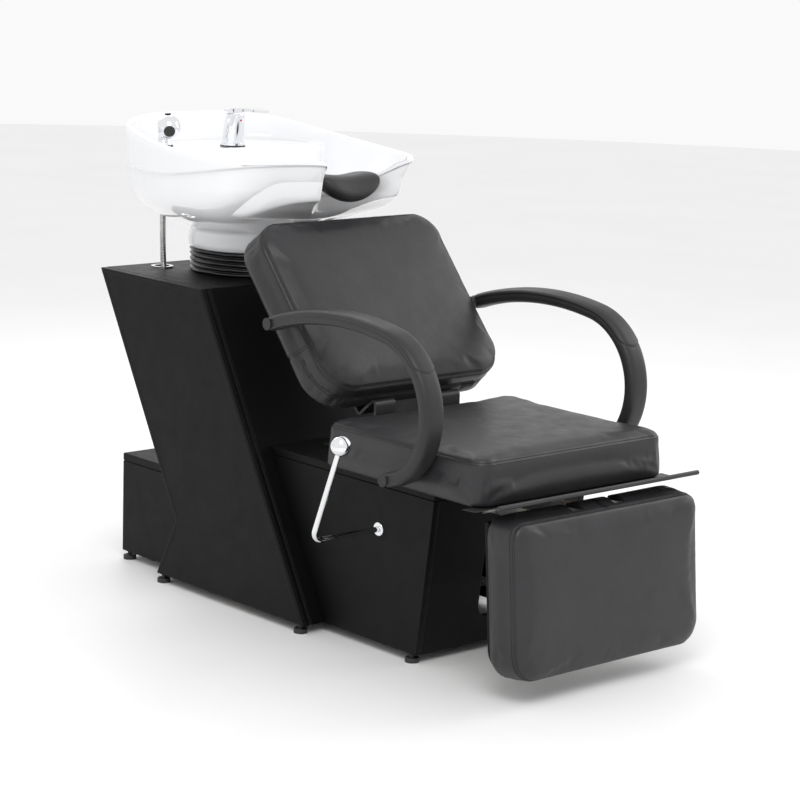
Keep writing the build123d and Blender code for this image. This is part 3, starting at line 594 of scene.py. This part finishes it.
def leg_cushion():
    shape = (266 * MM, -324 * MM, -1 * MM, (60 * MM, 36 * MM))
    profile = in_mm([(8, -80), (3, -77), (0.5, -70), (0, -50), (0, -30), (0, -16), (0.5, -8), (2, -4), (6, 0),
                     (12, 2.5), (20, 4)])
    piece = make_cushion("legrest_cover", "legrest_cushion", "legrest", shape, profile, 2.5 * MM, 3.0, 4)
    # the top climbs towards its rear edge
    co = vertex_array(piece)
    co[:, 1] += 9 * MM * smooth_step(-50 * MM, 0, co[:, 1]) * np.clip(-co[:, 2] / (80 * MM), 0, 1)
    piece.data.vertices.foreach_set("co", co.ravel())
    cut_slots(piece)
    place = tilted(-864, 368, 4.94)
    seam_z = -10 * MM
    cover = Cover(piece)
    seam = cover.lay(*round_line(shape, seam_z))
    join = [(6 * MM, 60 * MM, z * MM) for z in np.linspace(-12, -76, 18)]
    across = cover.lay(join, [(0, -1, 0)] * len(join), False)
    dent(piece, [np.vstack([seam[0], seam[0][:1]]), across[0]], 4 * MM, 2.2 * MM)
    cover = Cover(piece)
    seam = cover.lay(*round_line(shape, seam_z))
    across = cover.lay(join, [(0, -1, 0)] * len(join), False)
    rows = [cover.lay(*round_line(shape, seam_z + z * MM)) for z in (-5, 4.5)]
    for step in (-4.5, 4.5):
        rows.append(cover.lay([(x + step * MM, y, z) for x, y, z in join], [(0, -1, 0)] * len(join), False))
    pieces = [piece, seam_cord("legrest_seam", seam[0], 0.8, body=None),
              seam_cord("legrest_join", across[0], 0.8, False, body=None),
              stitches("legrest_stitches", rows, body=None)]
    place_pieces(place, "legrest", pieces)


def cut_slots(piece):
    """The hinges stand in two slots at the top of the leg rest's back."""
    for side in (-1, 1):
        cutter = bpy.data.objects.new("cutter", bpy.data.meshes.new("cutter"))
        low = np.array([side * 60 - 16.4, -66.6, -95]) * MM
        high = np.array([side * 60 + 16.4, 30, -25.2]) * MM
        corners = [[(low, high)[k >> a & 1][a] for a in range(3)] for k in range(8)]
        cutter.data.from_pydata(corners, [], [(0, 2, 3, 1), (4, 5, 7, 6), (0, 1, 5, 4), (2, 6, 7, 3), (0, 4, 6, 2),
                                              (1, 3, 7, 5)])
        bpy.context.scene.collection.objects.link(cutter)
        cut = piece.modifiers.new("slot", "BOOLEAN")
        cut.object = cutter
        cut.operation = "DIFFERENCE"
        cut.solver = "EXACT"
        settle(piece)
        bpy.data.objects.remove(cutter)
    piece.data.polygons.foreach_set("use_smooth", [True] * len(piece.data.polygons))


# ---------------------------------------------------------------- armrests
ARM_REAR = (-162.0, 661.0)                                # centre of the rear end, Y and Z
ARM_HEADING = 160.9                                       # degrees there, from +Y towards +Z
ARM_ARCS = ((712.0, 29.5), (154.0, 113.8), (121.0, 46.9))   # radius and degrees of each arc
ARM_HALF_WIDE = 25.0
ARM_HALF_DEEP = 15.5
ARM_PAD_LONG = 492.0                                      # the raised pad ends in a rounded tip here
ARM_PAD_HALF = 30.5                                       # from the middle of the top, round the section


def arm_station(s):
    """The centre and heading of the armrest s millimetres from its rear end."""
    y, z = ARM_REAR
    heading = radians(ARM_HEADING)
    if s < 0:
        return y + s * cos(heading), z + s * sin(heading), heading
    for radius, turn in ARM_ARCS:
        long = radius * radians(turn)
        step = min(s, long) / radius
        y += radius * (sin(heading + step) - sin(heading))
        z += radius * (cos(heading) - cos(heading + step))
        heading += step
        s -= long
        if s <= 0:
            return y, z, heading
    return y + s * cos(heading), z + s * sin(heading), heading


def armrest(side, label):
    around, power = 96, 3.4
    angles = np.arange(around) * tau / around + pi / 2
    c, s = np.cos(angles), np.sin(angles)
    unit_x = np.sign(c) * np.abs(c) ** (2 / power)
    unit_n = np.sign(s) * np.abs(s) ** (2 / power)
    flat = np.column_stack([unit_x * ARM_HALF_WIDE, unit_n * ARM_HALF_DEEP])
    steps = np.linalg.norm(np.diff(np.vstack([flat, flat[:1]]), axis=0), axis=1)
    from_top = np.concatenate([[0], np.cumsum(steps[:-1])])
    from_top = np.minimum(from_top, steps.sum() - from_top)
    outward = np.roll(flat, -1, 0) - np.roll(flat, 1, 0)
    outward = np.column_stack([outward[:, 1], -outward[:, 0]])
    outward /= np.linalg.norm(outward, axis=1)[:, None]
    whole = sum(radius * radians(turn) for radius, turn in ARM_ARCS)
    lead = ARM_HALF_DEEP * (1 - np.cos(np.linspace(0.06, 0.5, 10) * pi))
    stops = np.concatenate([lead - ARM_HALF_DEEP, np.linspace(0, whole, 330)[1:-1],
                            (whole + ARM_HALF_DEEP - lead)[::-1]])
    rings = []
    for stop in stops:
        beyond = max(-stop, stop - whole, 0)
        squeeze = sqrt(max(1 - (beyond / ARM_HALF_DEEP) ** 2, 0.002))
        past_tip = max(stop - (ARM_PAD_LONG - ARM_PAD_HALF), 0)
        inside = ARM_PAD_HALF - np.sqrt(past_tip ** 2 + from_top ** 2)
        raised = 1.5 * smooth_step(-0.4, 2.4, inside) - 1.1 * np.exp(-((inside + 0.4) / 1.3) ** 2)
        raised = raised * smooth_step(0, 14, stop) - 0.8 * np.exp(-((from_top - 41.0) / 1.3) ** 2)
        swell = 1.0 + 0.05 * sin(pi * min(max(stop / whole, 0), 1))
        y, z, heading = arm_station(stop)
        x = flat[:, 0] * swell + outward[:, 0] * raised
        n = (flat[:, 1] + outward[:, 1] * raised) * squeeze
        rings.append(np.column_stack([side * (292 + x), y + n * sin(heading), z - n * cos(heading)]))
    points = np.concatenate(rings) * MM
    faces = skin_faces(len(rings), around, capped=True)
    if side > 0:
        faces = [tuple(reversed(face)) for face in faces]
    for stop, cushion_side in ((0, 257), (whole, 262)):
        y, z, _ = arm_station(stop)
        path = [(side * x * MM, y * MM, z * MM) for x in (cushion_side, cushion_side + 2, 269, 272)]
        start = len(points)
        points = np.vstack([points, tube_points(path, [12 * MM, 13 * MM, 13 * MM, 14.5 * MM], 32)])
        faces += skin_faces(len(path), 32, start=start, capped=True)
    new_piece(f"armrest_{label}_moulded", points, faces, LOOKS["moulded_black"], "root",
              (f"armrest_{label}",))


# ---------------------------------------------------------------- basin
BASIN_CENTRE = (0.0, 235.0)      # middle of the drain, in plan
FOOT_CENTRE_Y = 312.0
RIM = [(0, -2, 927), (46, -10, 932), (88, -52, 953), (116, -101, 979), (126, -106, 984), (166, -62, 984),
       (234, 22, 979), (268, 130, 981), (274, 250, 990), (258, 380, 1006), (218, 498, 1025), (120, 558, 1036),
       (0, 570, 1037)]


def circle_reach(radius, across, along):
    """How far a spoke from the drain runs to a circle round the foot's centre."""
    offset = FOOT_CENTRE_Y - BASIN_CENTRE[1]
    return offset * along + np.sqrt(radius ** 2 - (offset * across) ** 2)


def bowl():
    left = [(-x, y, z) for x, y, z in RIM[1:-1][::-1]]
    rim = even_steps(curve_through(RIM + left, 30, closed=True), 5.0, closed=True)
    dx, dy, rim_z = rim[:, 0] - BASIN_CENTRE[0], rim[:, 1] - BASIN_CENTRE[1], rim[:, 2]
    reach = np.hypot(dx, dy)
    across, along = dx / reach, dy / reach
    front = smooth_step(0.45, 0.85, -along)
    notch = smooth_step(130, 70, np.abs(rim[:, 0])) * (along < 0)
    rings = []

    def add(r, z):
        rings.append(np.column_stack([BASIN_CENTRE[0] + r * across, BASIN_CENTRE[1] + r * along,
                                      np.broadcast_to(z, r.shape)]))

    # the underside climbs towards the front, over the top of the backrest
    lift = 9.0 * np.logaddexp(0, (140 - (rim[:, 1] - 7 * along)) / 22)

    # from the foot's inner edge, out and up over the wall to the rim
    foot = circle_reach(138, across, along)
    hollow = circle_reach(122, across, along)
    add(np.full_like(reach, 22.0), 812.0)
    add(hollow, 812.0)
    add(hollow, 750.0)
    for step, z in ((-9, 748.0), (-3, 748.3), (0.5, 752), (1.8, 762), (1.0, 776), (-1.5, 785), (-3.5, 788.5),
                    (-1.0, 791.5)):
        add(foot + step, z)
    wall = reach - 7
    band_low = 927 + 48 * smooth_step(330, -110, rim[:, 1]) * (1 - notch) + (rim_z - 16 - 927) * notch
    belly = curve_through([(0.0, 794.5), (0.10, 800), (0.32, 811), (0.56, 824), (0.78, 843), (0.92, 868),
                           (0.985, 898), (1.0, 925)], 5)
    for share, z in belly:
        z = z + lift * (share - (z - 794.5) / 130.5)
        z = np.minimum(z, band_low - 6 - 10 * (1 - share))
        r = foot + share * (wall - foot)
        rake = 0.50 * front * np.maximum(0, band_low - z)
        r = np.maximum(r - rake * share, foot * 0.2)
        add(r, z)
    for step, drop in ((-7, 3.0), (-6.6, 1.0), (-4.5, -0.6), (-1.5, -1.6), (-0.2, -4), (0, -8)):
        add(reach + step, band_low - drop)
    for share in (0.3, 0.6, 0.85):
        add(reach, (band_low + 8) * (1 - share) + (rim_z - 8) * share)
    for step, drop in ((-0.3, 5.5), (-1.6, 2.6), (-4, 0.7), (-7.5, 0), (-11, 0.9), (-13.6, 3.2)):
        add(reach + step, rim_z - drop)

    # inside: wall, floor and rear deck as one height over the plan
    edge = reach - 14.5
    rear = smooth_step(330, 420, rim[:, 1])
    run = 78 - 34 * rear
    for share in 1 - np.linspace(0, 1, 84) ** 1.15:
        r = 33 + share * (edge - 33)
        y = BASIN_CENTRE[1] + r * along
        x = np.abs(r * across)
        depth = 1 - np.clip(1 - (edge - r) / run, 0, 1) ** 2.3
        floor = 824 + 22 * (r / 230) ** 2
        front_rise = 30 * smooth_step(95, -40, y)
        deck = smooth_step(308, 340, y - 0.05 * x)
        bottom = (floor + front_rise) * (1 - deck) + 972 * deck
        side = (rim_z - 5) - (rim_z - 5 - 824) * depth
        add(r, soft_max(side, bottom, 14.0))
    add(np.full_like(reach, 22.0), 822.0)
    points = np.concatenate(rings) * MM
    faces = skin_faces(len(rings), len(rim), loop_back=True)
    return new_piece("basin_glazed", points, faces, LOOKS["ceramic"], "basin", ("basin_bowl",))


def neck_pad():
    half = 84.0
    rings = []
    for x in half * np.sin(np.linspace(-0.5, 0.5, 61) * pi):
        share = min(abs(x) / half, 0.9995)
        top = 943 + 248 - sqrt(248 ** 2 - x * x)
        profile = curve_through([(22, top - 6), (8, top - 1), (-18, top + 1), (-40, top - 1), (-58, top - 12),
                                 (-67, top - 32), (-66, 902), (-56, 890), (-38, 888), (-20, 896), (-6, 920),
                                 (14, top - 18)], 7, closed=True)
        middle = np.array([-26, top - 22])
        flat = (1 - share ** 5) ** 0.5
        profile[:, 1] += 34 * share ** 2 * np.clip((top - profile[:, 1]) / (top - 888), 0, 1)
        profile = middle + (profile - middle) * (flat * 0.96 + 0.04)
        rings.append(np.column_stack([np.full(len(profile), x), profile[:, 0], profile[:, 1]]))
    points = np.concatenate(rings) * MM
    new_piece("neck_rest_pad", points, skin_faces(len(rings), len(rings[0]), capped=True), LOOKS["pad"],
              "basin", ("neck_rest",))


def bellows():
    low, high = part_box("bellows")
    middle = (low + high) / 2
    around, levels, folds = 220, 60, 5
    outside, inside = [], []
    for k in range(levels + 1):
        t = k / levels
        ring = []
        for j in range(around):
            angle = tau * j / around
            place = Vector((cos(angle) * 1.6, sin(angle) * 1.6, t * 1.2))
            shifted = t + 0.055 * noise.noise(place) + 0.02 * noise.noise(place * 3.1)
            fold = abs(sin(pi * folds * shifted)) ** 0.6
            r = 130.0 + 7.2 * fold * (0.75 + 0.35 * noise.noise(place * 1.7 + Vector((0, 0, 9))))
            r = min(r, 137.9)
            ring.append((middle.x + r * cos(angle) * MM, middle.y + r * sin(angle) * MM,
                         low.z + t * (high.z - low.z)))
        outside.append(ring)
    for k in (levels, 0):
        t = k / levels
        inside.append([(middle.x + 0.127 * cos(tau * j / around), middle.y + 0.127 * sin(tau * j / around),
                        low.z + t * (high.z - low.z)) for j in range(around)])
    rings = outside + inside
    piece = new_piece("bellows_folded", np.array(rings), skin_faces(len(rings), around, loop_back=True),
                      LOOKS["rubber"], None, ("bellows",))
    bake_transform(piece)


# the spray hose leaves the bottom of its straight upper end, loops down in the cabinet and rises to the mixer
HOSE_ROUTE = [(-149, 445, 836), (-149, 445, 738), (-148, 435, 650), (-147, 385, 560), (-148, 320, 480),
              (-147, 280, 405), (-103, 265, 360), (-41, 265, 360), (1, 279, 405), (0, 310, 485), (0, 350, 575),
              (0, 383, 675), (0, 391, 780), (0, 392, 924.6)]
HOSE_DIAMETER = 0.014


def hose_line(points):
    """Points along the smooth line that has the route's points as its control points."""
    curve = bpy.data.curves.new("hose_line", "CURVE")
    curve.dimensions = "3D"
    spline = curve.splines.new("NURBS")
    spline.points.add(len(points) - 1)
    for control, place in zip(spline.points, points):
        control.co = (*[v * MM for v in place], 1)
    spline.order_u = 3
    spline.use_endpoint_u = True
    spline.resolution_u = 24
    guide = bpy.data.objects.new("hose_line", curve)
    bpy.context.scene.collection.objects.link(guide)
    bpy.context.view_layer.update()
    line = bpy.data.meshes.new_from_object(guide)
    found = np.array([v.co[:] for v in line.vertices])
    bpy.data.objects.remove(guide)
    return found


def corrugated(name, line, replaced, body):
    """A metal hose wound from strip: a tube with a ridge every few millimetres."""
    path = even_steps(line, 0.9 * MM)
    ridges = np.array([1.0, 0.985, 0.92, 0.985])
    radii = HOSE_DIAMETER / 2 * np.resize(ridges, len(path))
    points = tube_points(path, radii, 20)
    return new_piece(name, points, skin_faces(len(path), 20, capped=True), HOSE_METAL, body, replaced), path


def hoses():
    lower, path = corrugated("spray_hose_lower", hose_line(HOSE_ROUTE), ("spray_hose",), None)
    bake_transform(lower)
    x, y, z = HOSE_ROUTE[0]
    straight = [(x * MM, y * MM, z * MM + 0.0004), (x * MM, y * MM, 0.940)]
    corrugated("spray_hose_end", straight, ("spray_hose_upper",), "handset")
    supply = bpy.data.objects.new("supply_hoses_braided", NODES["supply_hoses"].data.copy())
    bpy.context.scene.collection.objects.link(supply)
    finish_piece(supply, BRAID, None, ("supply_hoses",))
    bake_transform(supply)


# ---------------------------------------------------------------- small things
def spray_details():
    """Rows of nozzles on the spray's black face, and a red mark on the front of the mixer."""
    low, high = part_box("spray_face")
    facing = Vector((-0.5, -0.81, -0.3)).normalized()
    centre = (low + high) / 2 + facing * 1.6 * MM
    side = facing.cross(Vector((0, 0, 1))).normalized()
    up = side.cross(facing)
    points, faces = [], []
    for ring, count in ((0, 1), (4, 6), (8.5, 12)):
        for k in range(count):
            spot = centre + (side * cos(tau * k / count) + up * sin(tau * k / count)) * ring * MM
            start = len(points)
            path = [spot, spot + facing * 0.7 * MM, spot + facing * 1.3 * MM, spot + facing * 1.5 * MM]
            points += tube_points(path, [1.1 * MM, 1.0 * MM, 0.8 * MM, 0.3 * MM], 10).tolist()
            faces += skin_faces(4, 10, start=start, capped=True)
    new_piece("spray_nozzles", points, faces, LOOKS["rubber"], "handset")
    low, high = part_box("mixer_body")
    spot = Vector((0, low.y + 3.2 * MM, 1.0335))
    path = [spot + Vector((0, -v * MM, 0)) for v in (0, 2.2, 3.0)]
    new_piece("mixer_mark", tube_points(path, [3.2 * MM, 3.0 * MM, 1.6 * MM], 20),
              skin_faces(3, 20, capped=True), RED_MARK, body="mixer_cap")


def gap_skirt():
    """The thin skirt under the front of the seat, with its hem turned round a rod."""
    low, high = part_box("gap_flap")
    rod_low, rod_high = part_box("flap_rod")
    line = curve_through([(-741, 375.6), (-757, 375.8), (-776, 377.5), (-806, 386.5), (-835, 396.4)], 10)
    hem_y, hem_z = (rod_low.y + rod_high.y) / 2 / MM, (rod_low.z + rod_high.z) / 2 / MM
    hem = [(hem_y + 4.3 * cos(a), hem_z + 4.3 * sin(a)) for a in np.linspace(0.45, -5.3, 30)]
    line = np.vstack([line, hem])
    across = np.linspace(low.x, high.x, 160)
    points = []
    steps = np.gradient(line, axis=0)
    normals = np.column_stack([-steps[:, 1], steps[:, 0]])
    normals /= np.linalg.norm(normals, axis=1)[:, None]
    for offset in (-0.6, 0.6):
        for x in across:
            for k, ((y, z), normal) in enumerate(zip(line, normals)):
                wave = 0.9 * noise.noise(Vector((x * 16, k * 0.07, 3.0))) * sin(pi * min(k / 40, 1))
                points.append((x, (y + normal[0] * (offset + wave)) * MM, (z + normal[1] * (offset + wave)) * MM))
    many, rows = len(line), len(across)
    faces = []
    for layer in (0, 1):
        start = layer * rows * many
        for i in range(rows - 1):
            for k in range(many - 1):
                a = start + i * many + k
                quad = (a, a + 1, a + many + 1, a + many)
                faces.append(quad if layer else quad[::-1])
    other = rows * many
    for i in range(rows - 1):
        for k, flip in ((0, False), (many - 1, True)):
            a, b = i * many + k, (i + 1) * many + k
            quad = (a, a + other, b + other, b)
            faces.append(quad[::-1] if flip else quad)
    for k in range(many - 1):
        for i, flip in ((0, True), (rows - 1, False)):
            a, b = i * many + k, i * many + k + 1
            quad = (a, a + other, b + other, b)
            faces.append(quad[::-1] if flip else quad)
    piece = new_piece("gap_skirt", points, faces, LOOKS["vinyl"], "root", ("gap_flap",))
    hem_row = [(x, -828 * MM, 394.6 * MM) for x in np.linspace(low.x + 0.004, high.x - 0.004, 60)]
    row = stitches("skirt_stitches", [(np.array(hem_row), np.array([(0, -0.31, 0.95)] * 60), False)])


def side_outline(node, x):
    """The corners of a flat side panel in the plane X = x, in order, read from its CAD mesh."""
    mesh = NODES[node].data
    near = [v.index for v in mesh.vertices if abs(v.co.x - x) < 0.01 * MM]
    spots = {i: (round(mesh.vertices[i].co.y, 5), round(mesh.vertices[i].co.z, 5)) for i in near}
    count = {}
    for face in mesh.polygons:
        if all(i in spots for i in face.vertices):
            for a, b in face.edge_keys:
                key = tuple(sorted((spots[a], spots[b])))
                count[key] = count.get(key, 0) + 1
    edges = [key for key, times in count.items() if times == 1]
    path = [edges[0][0], edges[0][1]]
    left = set(edges[1:])
    while left:
        following = next((e for e in left if path[-1] in e), None)
        if following is None:
            break
        left.discard(following)
        path.append(following[1] if following[0] == path[-1] else following[0])
    return path[:-1] if path[0] == path[-1] else path


def panel_seams():
    """Stitching near the edges of the cabinet's side panels."""
    rows = []
    for node, sign in (("pedestal_side_right", -1), ("pedestal_side_left", 1)):
        low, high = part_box(node)
        x = low.x if sign < 0 else high.x
        corners = side_outline(node, x)
        centre = np.mean(corners, axis=0)
        for start, end in zip(corners, corners[1:] + corners[:1]):
            a, b = np.array(start), np.array(end)
            if max(a[1], b[1]) < 30 * MM or np.linalg.norm(b - a) < 0.1:
                continue
            along = (b - a) / np.linalg.norm(b - a)
            inward = np.array([-along[1], along[0]])
            if not point_inside((a + b) / 2 + inward * 5 * MM, corners):
                inward = -inward
            for gap in (6.5, 10.5):
                p = a + inward * gap * MM + along * 9 * MM
                q = b + inward * gap * MM - along * 9 * MM
                line = np.linspace(p, q, 12)
                where = np.column_stack([np.full(12, x), line])
                rows.append((where, np.array([(sign, 0, 0)] * 12), False))
        foot = min(corners, key=lambda c: c[1] * 2 + c[0])
        top = min((c for c in corners if c[1] > 0.5), key=lambda c: c[0])
        line = np.linspace(foot, top, 12)
        slope = np.array(top) - np.array(foot)
        normal = np.array([-slope[1], slope[0]]) / np.linalg.norm(slope)
        for gap in (6.5, 24.0):
            where = np.column_stack([np.full(12, x - sign * gap * MM), line])
            rows.append((where, np.array([(0, normal[0], normal[1])] * 12), False))
    stitches("cabinet_stitches", rows, pitch=6.0, long=4.2, thick=0.6)


def point_inside(point, corners):
    inside = False
    for (y0, z0), (y1, z1) in zip(corners, corners[1:] + corners[:1]):
        if (z0 > point[1]) != (z1 > point[1]) and point[0] < y0 + (point[1] - z0) / (z1 - z0) * (y1 - y0):
            inside = not inside
    return inside


def floor():
    points = [(12 * cos(tau * k / 96), 12 * sin(tau * k / 96), 0) for k in range(96)]
    pale = look("pale_floor", (0.90, 0.90, 0.90), 0.55, shift=0.01, mottle=1.5, bumps=(("noise", 40, 0.1),))
    ground = new_piece("floor", points, [tuple(range(96))], pale, body=None)


# ---------------------------------------------------------------- everything together
place_camera()
hoses()
light_the_room()
floor()
slot_of = {part["node"]: part["material_slot"] for part in frame["record"]["subparts"]}
for node, obj in NODES.items():
    obj.data.materials.clear()
    obj.data.materials.append(LOOKS[slot_of[node]])
    for face in obj.data.polygons:
        face.material_index = 0
for node, slot in slot_of.items():
    if slot == "vinyl_panel":
        edge_copy(node, 3.0, "legrest" if node.startswith("legrest") else "root")
panel_seams()
seat()
backrest()
leg_cushion()
armrest(-1, "right")
armrest(1, "left")
bowl()
neck_pad()
bellows()
spray_details()
gap_skirt()
